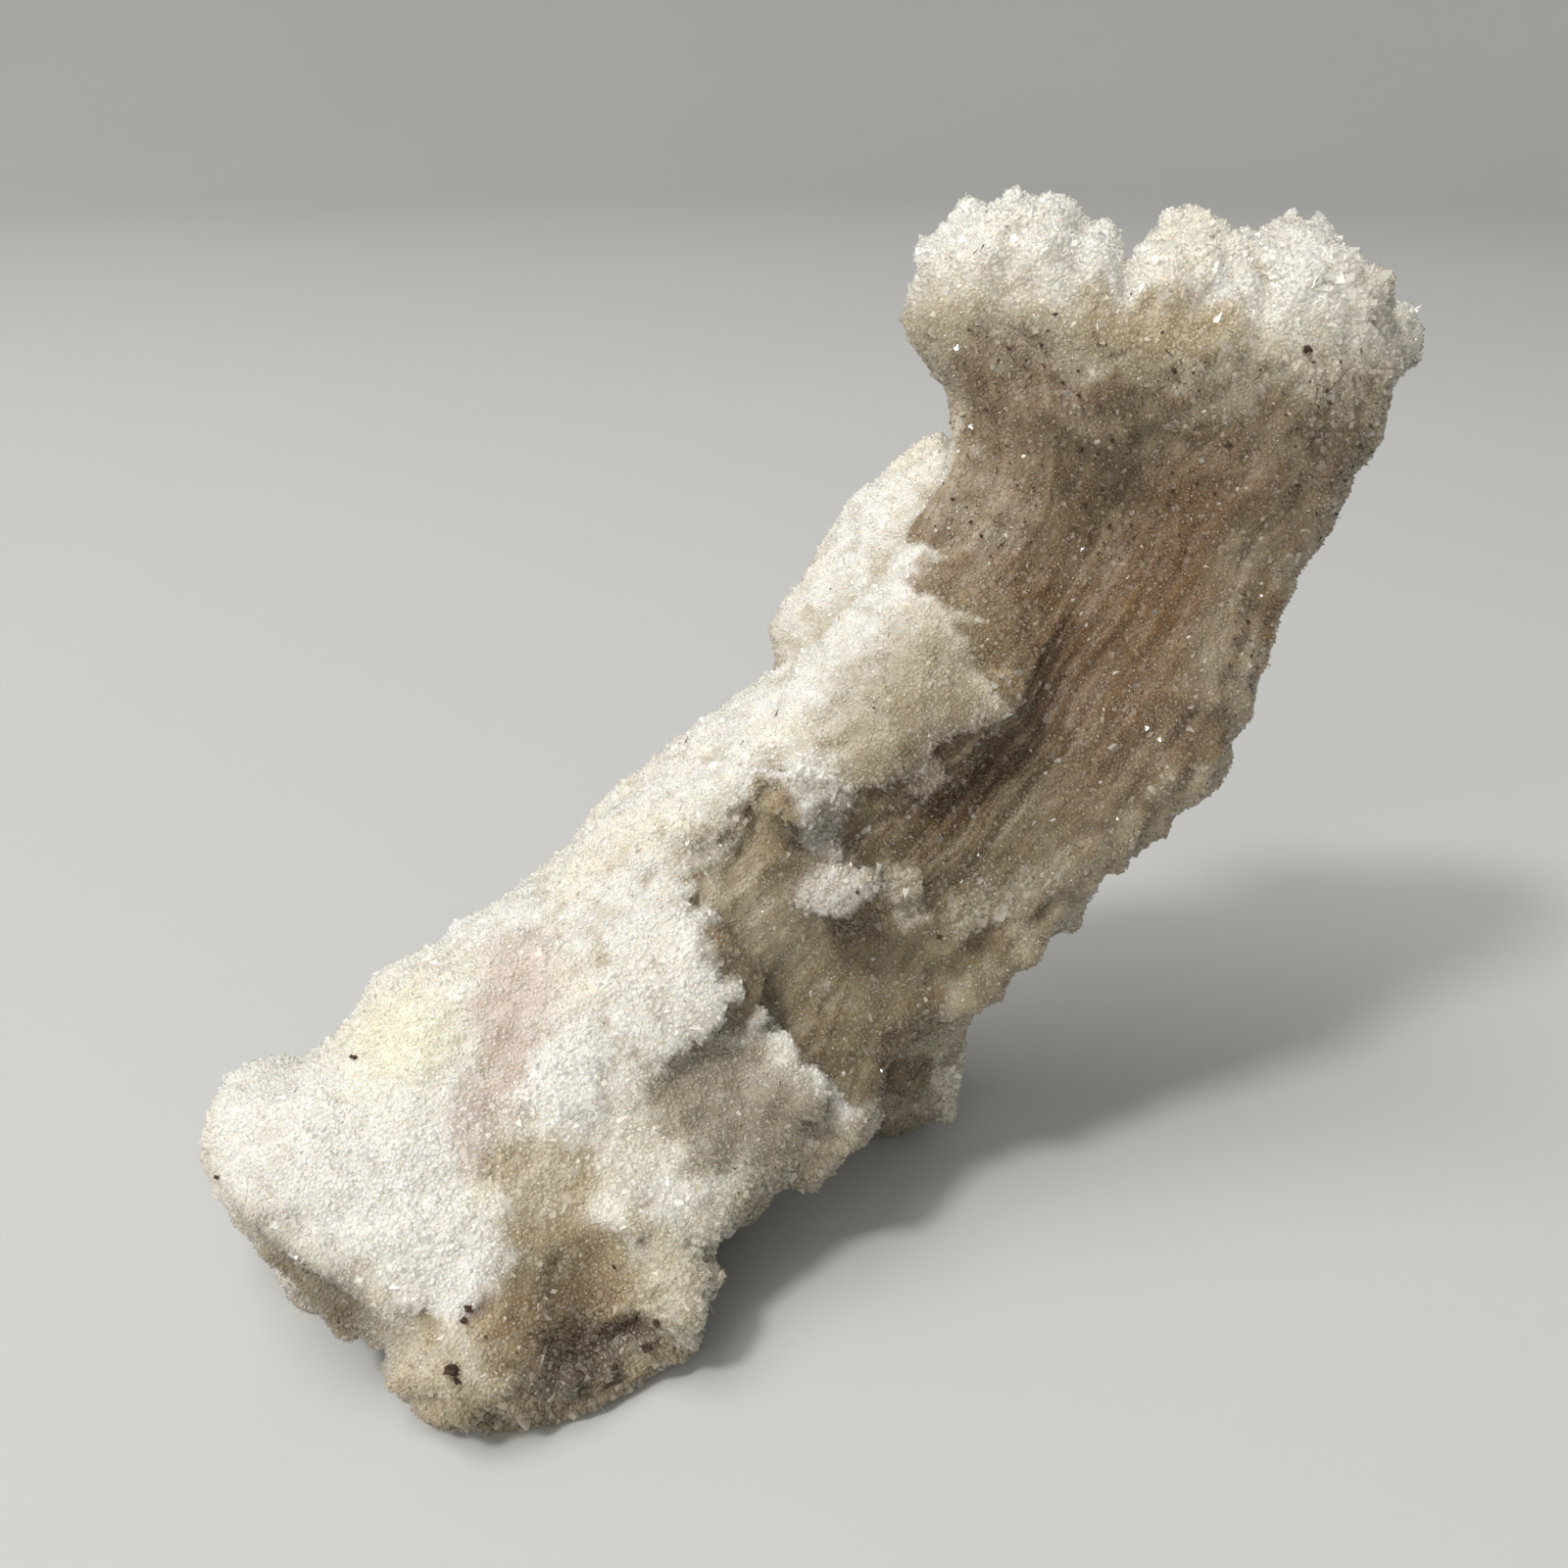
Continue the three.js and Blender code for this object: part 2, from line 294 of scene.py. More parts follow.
# plates, hollows and coloured areas of the front, some of them painted shade. Each gives how far it stands
# out, how soft its border is, its tone and the tone's strength, how much coarser its crystals are, and its
# corners on frontAxes.
panels = {
    "foot_rim": (0.0, 2.5, "tan", 0.75, 0.1, [
        (-38.5, -4.5), (-34, -6.5), (-32.5, -10.5), (-26, -13), (-16, -12.5), (-15, -15), (-22, -19),
        (-36, -20), (-41, -14)]),
    # painted shade along the front foot's lower edge
    "foot_hem": (0.0, 2.2, "umber", 0.8, 0.0, [
        (-34, -12.5), (-27, -12.5), (-21, -14), (-17, -14), (-20, -19), (-30, -20), (-36, -18)]),
    "bowl": (-0.6, 1.2, "tan", 0.95, 0.0, [
        (-31, 1.5), (-29.5, -1.5), (-33.5, -6.5), (-32.5, -10), (-25, -13), (-17.5, -12), (-16, -8.5),
        (-17.5, -3.5), (-20.5, 0.5), (-25.5, 2)]),
    "bowl_slope": (-0.2, 2.2, "brown", 0.6, 0.0, [
        (-28.5, -3), (-23, -2), (-18.5, -5), (-17, -11), (-22.5, -13), (-28, -12), (-30.5, -8)]),
    # the bowl's floor is darkened, partly its own dark stain and partly painted shade in the hollow
    "bowl_floor": (-0.7, 1.8, "soot", 0.95, 0.0, [
        (-27, -8), (-21.5, -6.5), (-17, -8.5), (-16, -11.5), (-20, -13), (-26, -12.5)]),
    "tan_patch": (-0.5, 0.9, "tan", 0.65, 0.0, [
        (-33.5, 8), (-29, 8.5), (-23, 8), (-21.5, 4.5), (-23, 1.5), (-26.5, 1), (-30.5, 2)]),
    "mauve_band": (0.0, 2.2, "mauve", 0.8, 0.0, [
        (-33, 27), (-27, 26), (-27.5, 18.5), (-29, 12.5), (-34, 7), (-36, 8.5), (-34.5, 16), (-34.5, 22)]),
    "white_tongue": (0.6, 0.8, "snow", 0.8, 0.35, [
        (-29, 17), (-23.5, 18), (-21.5, 14.5), (-23, 10.5), (-26.5, 10.5), (-29.5, 12)]),
    "left_plate": (0.5, 0.5, "snow", 0.6, 0.2, [
        (-51, 11.5), (-39.5, 13), (-34.5, 7), (-32.5, 2), (-31, -2), (-36, -6.5), (-39.5, -5.5), (-42, -2),
        (-49.5, 3)]),
    "right_rim": (1.2, 1.0, "stone", 0.9, 0.1, [
        (-19.5, 2.5), (-14, 0), (-12, -6), (-13.5, -11), (-16.5, -12), (-16.5, -8), (-18, -3)]),
    "right_edge": (0.3, 0.9, "cream", 0.7, 0.3, [
        (-14.5, 1), (-10, 0), (-9, -8), (-12, -12), (-14, -11), (-12.8, -5)]),
    "shelf": (0.2, 1.4, "grey", 0.85, 0.0, [
        (-17, 13.5), (-15, 17), (-10, 19.5), (-7, 18), (-5, 14.5), (-2, 11.5), (1, 8.5), (0.5, 6.5), (-5, 5),
        (-8.5, 4), (-14, 5), (-17, 9.5)]),
    "plate": (0.8, 0.5, "snow", 0.5, 0.15, [
        (-22.5, 27), (-14.5, 29.5), (-11, 26), (-10.5, 19), (-14.5, 15.5), (-19, 16.5), (-21.5, 22)]),
    "crust_edge": (0.5, 0.5, "cream", 0.3, 0.2, [
        (-9, 40), (-8.5, 35.5), (-12.5, 31.5), (-15, 29.5), (-18.5, 32), (-15.5, 38)]),
    "recess": (-0.9, 0.6, "tan", 0.9, 0.0, [
        (-14.5, 29.5), (-14, 32), (-11, 33.5), (-9, 35.5), (-9, 40), (-5.5, 42.5), (-5, 41.5), (-4.5, 37),
        (-5, 34), (-8, 31.5), (-11.5, 30)]),
    "cluster": (0.9, 0.6, "snow", 0.7, 0.5, [
        (-4.5, 42.5), (-2.5, 44.5), (0, 44), (1.5, 41.5), (1, 37), (1.5, 34), (-2, 34.5), (-3.5, 37),
        (-4, 40)]),
    "lower_cluster": (0.5, 0.8, "cream", 0.6, 0.4, [
        (5.5, 33.5), (8.5, 33.5), (10, 28), (8, 27), (5.5, 29)]),
    "far_tuft": (0.9, 0.7, "cream", 0.8, 0.5, [(12, 10.5), (17, 11), (17, 3), (12, 3)]),
    "shoulder": (0.0, 4.5, "tan", 0.6, 0.0, [
        (1, 40.5), (-2, 47), (5, 55), (14, 61), (19, 56), (17.5, 49.5), (14, 45), (6, 38.5)]),
    "shoulder_shade": (0.0, 3.0, "umber", 0.4, 0.0, [
        (0, 46), (1, 54), (8, 57.5), (15, 56), (16, 50), (8, 43)]),
    "shoulder_tip": (0.0, 2.6, "brown", 0.7, 0.0, [
        (5, 41), (9, 46), (14, 50), (18, 50), (14, 45), (8, 39)]),
    "channel": (-0.5, 1.2, "brown", 0.85, 0.0, [
        (5.5, 38), (13.5, 42.5), (17.5, 47), (21, 45), (11, 37.5)]),
    "channel_top": (0.0, 2.6, "brown", 0.6, 0.0, [
        (18, 46), (22, 54), (25, 60), (29, 60), (29, 53), (23, 45)]),
    "cleft": (-0.3, 1.5, "brown", 0.8, 0.0, [
        (8, 36.5), (15.5, 41.5), (18.5, 44.5), (19.5, 42.5), (13, 36.5), (9, 34.5)]),
    "belly_band": (0.5, 1.4, "stone", 0.6, 0.5, [
        (11.5, 28), (16.5, 31), (24.5, 34.5), (25.5, 32.5), (17.5, 26.5), (12.5, 26)]),
    "brow_recess": (-0.6, 1.8, "brown", 0.5, 0.0, [
        (13, 87.5), (20, 87.5), (22.5, 80.5), (15.5, 79), (11.5, 84)]),
    "brow_glow": (0.0, 2.0, "tan", 0.4, 0.0, [
        (23.5, 93), (28.5, 89), (37, 88), (42.5, 84.5), (31.5, 82), (23.5, 86.5)]),
    "brow_middle": (0.0, 2.2, "tan", 0.75, 0.0, [
        (25, 90), (32, 89.5), (39, 88), (39, 83), (30, 82), (25, 84)]),
    "middle_lobe": (0.8, 1.2, "cream", 0.5, 0.1, [
        (29.5, 90), (30.5, 98), (37, 98), (38, 94.5), (36, 90), (32, 87.5)]),
    "right_lobe": (0.6, 1.2, "snow", 0.5, 0.3, [
        (41.5, 96.5), (46.5, 98.5), (51.5, 98.5), (52, 90.5), (49.5, 87.5), (42.5, 89)]),
}


def panelShares(points, normals):
    # how much of each panel every point has; borders are ragged and only the front takes them
    here = points @ frontAxes.T
    ragged = np.c_[noiseAt(points, 3.2, 5.5), noiseAt(points, 3.2, 35.5)] * 1.3
    ragged += np.c_[noiseAt(points, 1.3, 15.5), noiseAt(points, 1.3, 45.5)] * 0.9
    facing = smoothStep(-0.15, 0.2, normals @ hornLine["openSide"])
    return {name: smoothStep(-soft, soft, depthInside(here + ragged, np.array(corners))) * facing
            for name, (_, soft, _, _, _, corners) in panels.items()}


# the horn's solid, remeshed finely and given its crust, ledges and fibres
body = {
    "voxel": 0.61,
    "softening": 18,
    "inset": 0.35,  # room left for the crystals, so that their tips lie on the solid's skin
    "lumps": [(6.0, 0.75), (2.7, 0.55), (1.4, 0.3)],  # size and rise
    "pebbles": (1.8, 0.4),
    "ledgeStep": 0.7,
    "ledgeRagged": [(5.5, 4.0), (1.9, 1.8)],
    "fibreRise": 0.45,
    "fibres": [(17, 1.25, 1.0), (10, 0.75, 0.5)],  # length, width and share
    "foldRise": 0.6,  # along the lower border of the bare stretch
    "facingBlur": 40,  # how widely the skin's direction, its hollows and its pits are averaged
    "hollowBlur": 90,
    "pitBlur": 10,
    "seed": 11.3,
    "flakes": [  # thin crusts that stand off the bare stretch: middle, half width, height and thickness, roll
        ((-5.6, -10.6, 40.2), (5.7, 3.0, 1.6), 20),
        ((-8.6, -4.4, 47.6), (4.6, 3.0, 1.7), -15),
        ((-19.2, -9.2, 33.6), (3.6, 5.4, 1.5), -8),
        ((-9.5, -16.4, 17.6), (4.2, 3.4, 1.3), 25),
        ((-13.8, -15.2, 23.0), (5.5, 4.0, 1.4), -40),
        ((12.4, -9.4, 56.2), (4.6, 3.2, 1.5), 30),
        ((3.4, -10.4, 38.4), (2.2, 2.0, 1.0), 0),
    ],
    "dents": [  # from one point to another, reach and depth; a negative depth is a rise
        ((-64.6, -1.0, 15.0), (-58.4, -10.6, 10.6), 1.8, 2.2),  # under the head's edge
        ((-63.8, -1.0, 18.4), (-57.6, -11.6, 14.8), 1.3, -0.8),
        ((-38.6, -20.8, 11.5), (-37.0, -23.6, 5.6), 4.8, 3.2),  # the bowl of the front foot
        ((30.7, -6.4, 94.5), (30.0, -8.5, 91.0), 1.3, 0.6),  # the crease below the first notch
        ((-22.3, 0.8, 40.6), (-15.0, -0.8, 41.8), 2.6, 1.0),  # hollows under the shoulder
        ((2.1, 13.2, 55.7), (-2.7, 8.5, 55.5), 2.6, 2.2),  # where the fin ends
    ],
    "notches": [(28.3, 1.4, 3.3), (39.4, 1.7, -1.4), (23.6, 1.3, 1.0)],  # place across, half width and depth
    "notchLean": 0.22,  # they run a little to the right as they go back
    "nubs": [(5.5, 1.5), (2.3, 1.1)],  # along the underside's edge
    "rimLumps": [(4.2, 1.5), (2.2, 0.9)],
    "scallops": [(4.4, 2.0), (2.1, 1.2)],  # along the lowest edges
    "hem": [(3.6, 2.2), (1.7, 1.0)],  # how far up the edges of the feet are nibbled
    "bites": [  # taken out of the foot's edge: from, to, reach and height
        ((-40.8, -26.4, 0.0), (-34.0, -25.6, 0.0), 2.4, 2.0),
        ((-41.2, -25.8, 0.0), (-41.0, -25.0, 0.0), 1.2, 1.4),
        ((-50.9, -21.4, 0.0), (-50.7, -21.0, 0.0), 1.4, 1.6),
        ((-46.2, -25.2, 0.0), (-46.0, -25.0, 0.0), 0.9, 1.0),
    ],
    "brow": [(0.785, 0.03, 2.1), (0.845, 0.03, -0.9)],  # place, spread and rise across the front
}


def addFlake(work, middle, half, roll):
    # a flattened, ragged ball that the remesh melts into the body
    out = Vector(hornLine["openSide"]).normalized()
    right = Vector(frontAxes[0])
    axes = Matrix((right, out.cross(right), out)).transposed() @ Matrix.Rotation(math.radians(roll), 3, "Z")
    made = bmesh.ops.create_icosphere(work, subdivisions=4, radius=1)
    for vert in made["verts"]:
        side = Vector((vert.co.x * 1.9 + middle[0], vert.co.y * 1.9, middle[2]))
        frill = 1 + 0.3 * noise.noise(side) + 0.26 * noise.noise(side * 2.7)
        local = Vector((vert.co.x * half[0] * frill, vert.co.y * half[1] * frill, vert.co.z * half[2]))
        vert.co = (Vector(middle) + axes @ local) * mm


def buildBody():
    mesh = hornNode.data.copy()
    mesh.name = "selenite_body"
    work = bmesh.new()
    work.from_mesh(mesh)
    bmesh.ops.remove_doubles(work, verts=work.verts, dist=1e-6)
    for flake in body["flakes"]:
        addFlake(work, *flake)
    work.to_mesh(mesh)
    work.free()
    thing = addObject("selenite_body", mesh)
    remesh = thing.modifiers.new("finer", "REMESH")
    remesh.mode = "VOXEL"
    remesh.voxel_size = body["voxel"] * mm
    remesh.use_smooth_shade = True
    soften = thing.modifiers.new("soften", "SMOOTH")
    soften.factor = 0.5
    soften.iterations = body["softening"]
    return settle(thing)


def distanceFromRun(points, start, end):
    start, end = np.array(start), np.array(end)
    run = end - start
    t = np.clip(((points - start) @ run) / (run @ run), 0, 1)
    return np.linalg.norm(points - start - t[:, None] * run, axis=1)


def shapeBody(thing):
    # moves each point along its normal, and keeps what the colours and the crystals need
    mesh = thing.data
    points = readPoints(mesh) / mm
    normals = readPoints(mesh, "vertex_normals", "vector")
    u, angle = placeOnHorn(points)
    blur = Blur(mesh)
    shift = body["seed"]
    border = distanceFromPatch(u, angle)
    for size, reach in body["ledgeRagged"]:
        border += reach * noiseAt(points, size, shift)

    # the crust ends in a ledge round the bare stretch, and in a rounded fold along its lower side
    worn = smoothStep(0.74, 0.79, u)
    inPatch = smoothStep(0.8, -0.8, border)
    step = smoothStep(-0.55, 0.55, border) - 0.5
    lip = bell((border - 1.3) / 1.1) * 0.15 - bell((border + 1.0) / 0.8) * 0.15
    shelfSide = smoothStep(54, 42, angle) * (1 - worn) * (1 - 0.75 * smoothStep(0.56, 0.62, u))
    rise = (step * body["ledgeStep"] + lip) * shelfSide * smoothStep(9, 4, border)
    fold = smoothStep(-6, -0.5, border) * smoothStep(1.5, -1.0, border) * (1 - shelfSide)
    fold = fold * smoothStep(0.46, 0.54, u) * smoothStep(0.77, 0.7, u)
    rise += body["foldRise"] * fold

    for start, end, reach, depth in body["dents"]:
        rise -= depth * bell(distanceFromRun(points, start, end) / reach)
    onFront = smoothStep(95, 60, abs(angle + 2))
    for at, spread, height in body["brow"]:
        rise += height * bell((u - at) / spread) * onFront

    shares = panelShares(points, normals)
    for name, (height, *_) in panels.items():
        rise += height * shares[name]
    for size, height in body["nubs"]:
        rise += height * noiseAt(points, size, shift) * bell((angle - 80) / 28) * bell((u - 0.55) / 0.24)

    crusty = 1 - 0.25 * inPatch * (1 - worn) * smoothStep(0.44, 0.56, u)
    for size, height in body["lumps"]:
        rise += height * noiseAt(points, size, shift + size) * crusty
    size, height = body["pebbles"]
    rise += height * (pebblesAt(points, size, shift) - 0.5) * crusty

    # fibres run along the horn in the bare stretch, deepest down its middle
    along, across = u * hornLine["length"], angle * hornLine["arcPerDegree"]
    grooves = 0
    for layer, (length, width, share) in enumerate(body["fibres"]):
        run = np.c_[along / length, across / width, np.full(len(u), layer)]
        grooves = grooves + share * noiseAt(run, 1.0)
    cleft = bell((u - 0.55) / 0.09) * bell((angle - 14) / 20)
    rise += body["fibreRise"] * grooves * inPatch * (0.6 + 1.5 * cleft)

    for size, height in body["scallops"]:
        rise += height * noiseAt(points, size, shift) * smoothStep(10, 4, points[:, 2])
    for size, height in body["rimLumps"]:
        rise += height * noiseAt(points, size, shift) * smoothStep(0.88, 0.94, u)

    # nothing moves where it rests on the ground
    rise = (rise - body["inset"]) * smoothStep(0.1, 1.6, points[:, 2])
    points = points + normals * rise[:, None]
    back = points @ np.array((0.5, 0.866, 0)) - 10.7  # how far behind the rim's front edge
    for place, width, depth in body["notches"]:
        aside = (points @ frontAxes[0] - body["notchLean"] * back - place) / width
        points[:, 2] -= depth * bell(aside) * smoothStep(87, 97, points[:, 2])

    # the feet's edges are nibbled upwards, and nothing reaches below the ground
    hem = smoothStep(-0.97, -0.6, normals[:, 2]) * smoothStep(3.0, 0.3, points[:, 2])
    for size, height in body["hem"]:
        points[:, 2] += height * np.clip(noiseAt(points, size, shift + 2), 0, 1) * hem
    for start, end, reach, height in body["bites"]:
        points[:, 2] += height * bell(distanceFromRun(points, start, end) / reach)
    points[:, 2] = np.maximum(points[:, 2], 0)
    writePoints(mesh, points)

    normals = readPoints(mesh, "vertex_normals", "vector")
    facing = blur.spread(normals, body["facingBlur"])
    facing /= np.linalg.norm(facing, axis=1)[:, None]
    hollow = ((blur.spread(points, body["hollowBlur"]) - points) * normals).sum(1)
    pit = ((blur.spread(points, body["pitBlur"]) - points) * normals).sum(1)
    return {
        "points": points, "facing": facing, "u": u, "angle": angle, "border": border, "inPatch": inPatch,
        "shelfSide": shelfSide, "hollow": hollow, "pit": pit, "cleft": cleft, "onFront": onFront,
        "shares": shares,
    }


selenite = buildBody()
skin = shapeBody(selenite)
print("body shaped,", len(selenite.data.polygons), "faces")

# the colours of the crust, of what stains it, and of its painted shade and glow
tones = {
    "snow": (0.83, 0.82, 0.775),
    "cream": (0.82, 0.765, 0.63),
    "stone": (0.60, 0.55, 0.42),
    "tan": (0.50, 0.41, 0.255),
    "brown": (0.215, 0.135, 0.062),
    "grey": (0.40, 0.35, 0.26),
    "mauve": (0.68, 0.57, 0.50),
    "straw": (0.88, 0.85, 0.66),
    "amber": (0.23, 0.135, 0.052),
    "rust": (0.11, 0.05, 0.03),
    "umber": (0.29, 0.235, 0.135),
    "soot": (0.10, 0.07, 0.04),
    "frost": (0.9, 0.885, 0.845),
}

# stains, and painted shade and painted glow: each gives where it runs from and to, its reach, tone and
# strength
stainsShadeAndGlow = [
    ((-47.8, 1.1, 30.0), (-46.8, 1.1, 30.0), 6.0, "straw", 0.7),
    ((-49.2, -18.6, 11.9), (-47.6, -17.8, 12.4), 0.8, "rust", 0.8),
    ((-51.5, -20.6, 8.8), (-51.3, -20.6, 8.4), 0.8, "rust", 0.9),
    ((-35.1, -24.2, 6.0), (-34.0, -24.4, 4.4), 1.1, "rust", 0.75),
    ((-36.8, -24.4, 6.4), (-34.4, -24.2, 5.6), 2.6, "brown", 0.9),
    # painted glow: warm amber where light shines through the neck
    ((33.2, -12.1, 65.3), (37.3, -11.5, 72.7), 6.0, "amber", 0.8),
    ((33.2, -12.1, 65.3), (28.8, -13.0, 57.8), 6.0, "amber", 0.85),
    # painted shade under the head's overhanging edge
    ((-62.6, -3.6, 10.6), (-58.0, -9.5, 8.6), 3.8, "umber", 0.9),
    ((-63.4, -3.4, 15.4), (-58.0, -11.0, 10.6), 2.8, "soot", 0.9),
    # painted glow through the neck
    ((24.2, -5.0, 66.8), (24.6, -8.0, 60.0), 4.5, "amber", 0.55),
    ((24.7, -16.1, 46.8), (27.5, -16.0, 51.0), 4.0, "brown", 0.5),
    ((-9.6, -7.1, 33.7), (-11.6, -5.0, 37.0), 3.2, "stone", 0.55),
    ((-14.7, -0.2, 43.0), (-13.0, -2.0, 42.0), 3.2, "cream", 0.5),
    ((-7.4, -10.0, 39.4), (-3.4, -12.0, 41.0), 3.0, "snow", 0.95),
    ((8.7, -15.0, 27.0), (10.0, -15.1, 28.3), 2.6, "umber", 0.85),
    ((40.7, -14.2, 68.8), (35.3, -16.9, 56.8), 3.0, "stone", 0.35),
    ((35.3, -16.9, 56.8), (18.1, -15.9, 37.0), 3.4, "stone", 0.15),
    # darkest along the bottom of the front foot
    ((-35.1, -24.2, 6.0), (-43.8, -24.3, 7.4), 2.6, "soot", 0.95),
]


def paintSkin(mesh, skin):
    # each layer lies over the one before: crust, painted shade on the sides and undersides, in hollows and
    # pits, the bare stretch, painted shade on the neck below the brow, panels, and stains with painted shade
    # and glow
    points, u, angle = skin["points"], skin["u"], skin["angle"]
    shades = {name: np.array(tone) for name, tone in tones.items()}
    colour = np.tile(shades["snow"], (len(points), 1))

    def lay(tone, amount):
        amount = np.clip(amount, 0, 1)[:, None]
        colour[:] = colour * (1 - amount) + shades[tone] * amount

    cloud = noiseAt(points, 9, 4.1)
    fleck = noiseAt(points, 2.4, 8.7)
    ragged = points + 1.6 * np.c_[noiseAt(points, 3.5, 1), noiseAt(points, 3.5, 21), noiseAt(points, 3.5, 41)]
    inPatch, onFront = skin["inPatch"], skin["onFront"]
    # painted shade: skin that faces sideways or down, away from the light above, turns cream, tan and brown
    sideShade = smoothStep(0.62, -0.15, skin["facing"][:, 2] + 0.25 * cloud)
    # the head's end and the rim take less of this painted shade, so they stay bright as if lit through from
    # behind
    whiter = smoothStep(0.22, 0.12, u) + smoothStep(0.86, 0.92, u)
    lay("cream", 0.15 + 0.9 * cloud + 0.6 * sideShade)
    lay("tan", (0.7 * sideShade + 0.15 * fleck) * (1 - 0.7 * whiter))
    # painted shade in the hollows and pits
    lay("tan", 0.45 * smoothStep(0.0, 0.8, skin["hollow"]) * (1 - 0.6 * whiter))
    lay("tan", 0.5 * smoothStep(0.1, 0.4, skin["pit"]) * (1 - 0.6 * whiter))
    # painted shade on the undersides
    lay("grey", 0.6 * smoothStep(-0.05, -0.7, skin["facing"][:, 2]))
    # painted shade on the sides close to the ground
    lay("brown", 0.35 * sideShade * smoothStep(8, 2, points[:, 2]))
    lowerBorder = smoothStep(50, 72, angle) * smoothStep(0.42, 0.5, u) * smoothStep(0.78, 0.7, u)
    lay("tan", 0.6 * lowerBorder * onFront)
    speckle = np.clip(noiseAt(points, 1.5, 2.2) + 0.5 * fleck, 0, 1)
    lay("stone", 0.75 * speckle * smoothStep(0.1, 0.25, u) * (1 - 0.5 * whiter))
    lay("tan", inPatch * (0.75 + 0.35 * cloud + 0.25 * fleck))
    lay("brown", inPatch * (0.6 + 0.3 * cloud + 0.25 * fleck))
    lay("umber", 0.75 * inPatch * smoothStep(0.62, 0.5, u))
    lay("brown", 0.3 * smoothStep(40, 66, angle) * smoothStep(0.3, 0.5, u) * onFront)
    # painted shade: a grey-brown band across the front just under the brow's overhang
    band = bell((u - 0.80 - 0.012 * cloud) / 0.035) * onFront
    lay("grey", 0.6 * band * (0.8 + 0.6 * fleck))
    lay("brown", 0.5 * band * (0.7 + fleck))
    for name, (_, _, tone, strength, _, _) in panels.items():
        lay(tone, strength * skin["shares"][name] * (1 + 0.3 * fleck))
    stained = np.zeros(len(points))
    for start, end, reach, tone, strength in stainsShadeAndGlow:
        share = bell(distanceFromRun(ragged, start, end) / reach)
        lay(tone, strength * share)
        stained = np.maximum(stained, share * (tone != "snow"))

    edge = bell((skin["border"] - 0.8) / 1.3) * skin["shelfSide"]
    lay("snow", 0.2 * edge)
    storeColour(mesh, "tint", colour)

    # the crystals take the skin's colour, frosted where the crust is clean and lit, and less on the
    # painted-shade sides, the bare stretch and the stains
    cleanAndLit = (1 - sideShade * (1 - whiter)) * (1 - inPatch * (1 - whiter))
    frost = 0.01 + 0.05 * smoothStep(0.6, 0.5, u) + 0.22 * cleanAndLit + 0.08 * edge
    for name, (_, _, tone, _, _, _) in panels.items():
        if tone not in ("snow", "cream", "mauve"):
            frost = frost - 0.3 * skin["shares"][name]
    frost = np.clip(frost - 0.3 * stained, 0.02, 0.6)[:, None]
    storeColour(mesh, "grainTint", colour * (1 - frost) + shades["frost"] * frost)
    skin.update(cloud=cloud, stained=stained, edge=edge)


def setCrystalSizes(mesh, skin):
    # how coarse and how many the crystals are at each point, and how the fibres run
    points, u, angle, edge = skin["points"], skin["u"], skin["angle"], skin["edge"]
    rim = smoothStep(0.79, 0.9, u)
    front = bell((u - 0.16) / 0.1) * smoothStep(80, 30, abs(angle - 25))
    coarse = 0.9 + 0.25 * rim + 0.25 * edge + 0.2 * front
    for name, (_, _, _, _, size, _) in panels.items():
        coarse = coarse + size * skin["shares"][name]
    leaf = np.linalg.norm(points - np.array(body["flakes"][0][0]), axis=1)
    coarse = coarse + 0.3 * smoothStep(6, 4, leaf)
    storeNumber(mesh, "coarse", coarse + 0.2 * skin["cloud"])
    clearOfGround = smoothStep(0.35, 0.9, points[:, 2])
    storeNumber(mesh, "grow", clearOfGround * (1 - 0.15 * skin["inPatch"] * (1 - edge)))
    storeNumber(mesh, "place", u)
    storeNumber(mesh, "bare", skin["inPatch"] * (0.35 + 1.4 * skin["cleft"]))
    run = np.c_[u * hornLine["length"] / 14, angle * hornLine["arcPerDegree"], np.zeros(len(u))]
    storeVector(mesh, "fibreRun", run)
    storeVector(mesh, "skinFacing", skin["facing"])
    neck = smoothStep(0.6, 0.76, u) * smoothStep(0.9, 0.84, u) * skin["onFront"]
    dirty = np.clip(neck * (0.5 + 2 * noiseAt(points, 6, 3)) + 0.008, 0, 1)
    storeNumber(mesh, "dirt", clearOfGround * dirty)
    stained = skin["stained"]
    for name in ("bowl", "bowl_floor", "foot_rim"):
        stained = np.maximum(stained, skin["shares"][name])
    sparse = np.clip(0.12 + 0.6 * rim + 0.5 * edge + 0.7 * front - stained, 0, 1)
    storeNumber(mesh, "sparse", clearOfGround * sparse)


paintSkin(selenite.data, skin)
setCrystalSizes(selenite.data, skin)
print("skin painted")

gypsumIor = 1.52


def newMaterial(name):
    material = bpy.data.materials.new(name)
    material.use_nodes = True
    sheet = NodeSheet(material.node_tree)
    shader = material.node_tree.nodes["Principled BSDF"]
    return material, sheet, shader


def plug(sheet, wire, shader, name):
    sheet.tree.links.new(wire.socket, shader.inputs[name])


def objectPlace(sheet):
    return sheet.node("ShaderNodeTexCoord")["Object"]


def fibreStreaks(sheet):
    # dark lines along the horn, where it has no crust
    run = sheet.node("ShaderNodeAttribute", {"attribute_name": "fibreRun"})["Vector"]
    bare = sheet.node("ShaderNodeAttribute", {"attribute_name": "bare"})["Fac"]
    fibres = sheet.noise(run, 1.7, 3)
    return sheet.remap(fibres, 0.62, 0.38, 0, 1) * bare


crustLook = {
    "grain": 1500, "patch": 420, "fine": 3200, "bumpDepth": 0.00014,
    "softLight": 0.8, "softReach": 0.004, "softSpread": (1.0, 0.8, 0.6), "deeper": (0.62, 0.53, 0.43, 1),
}


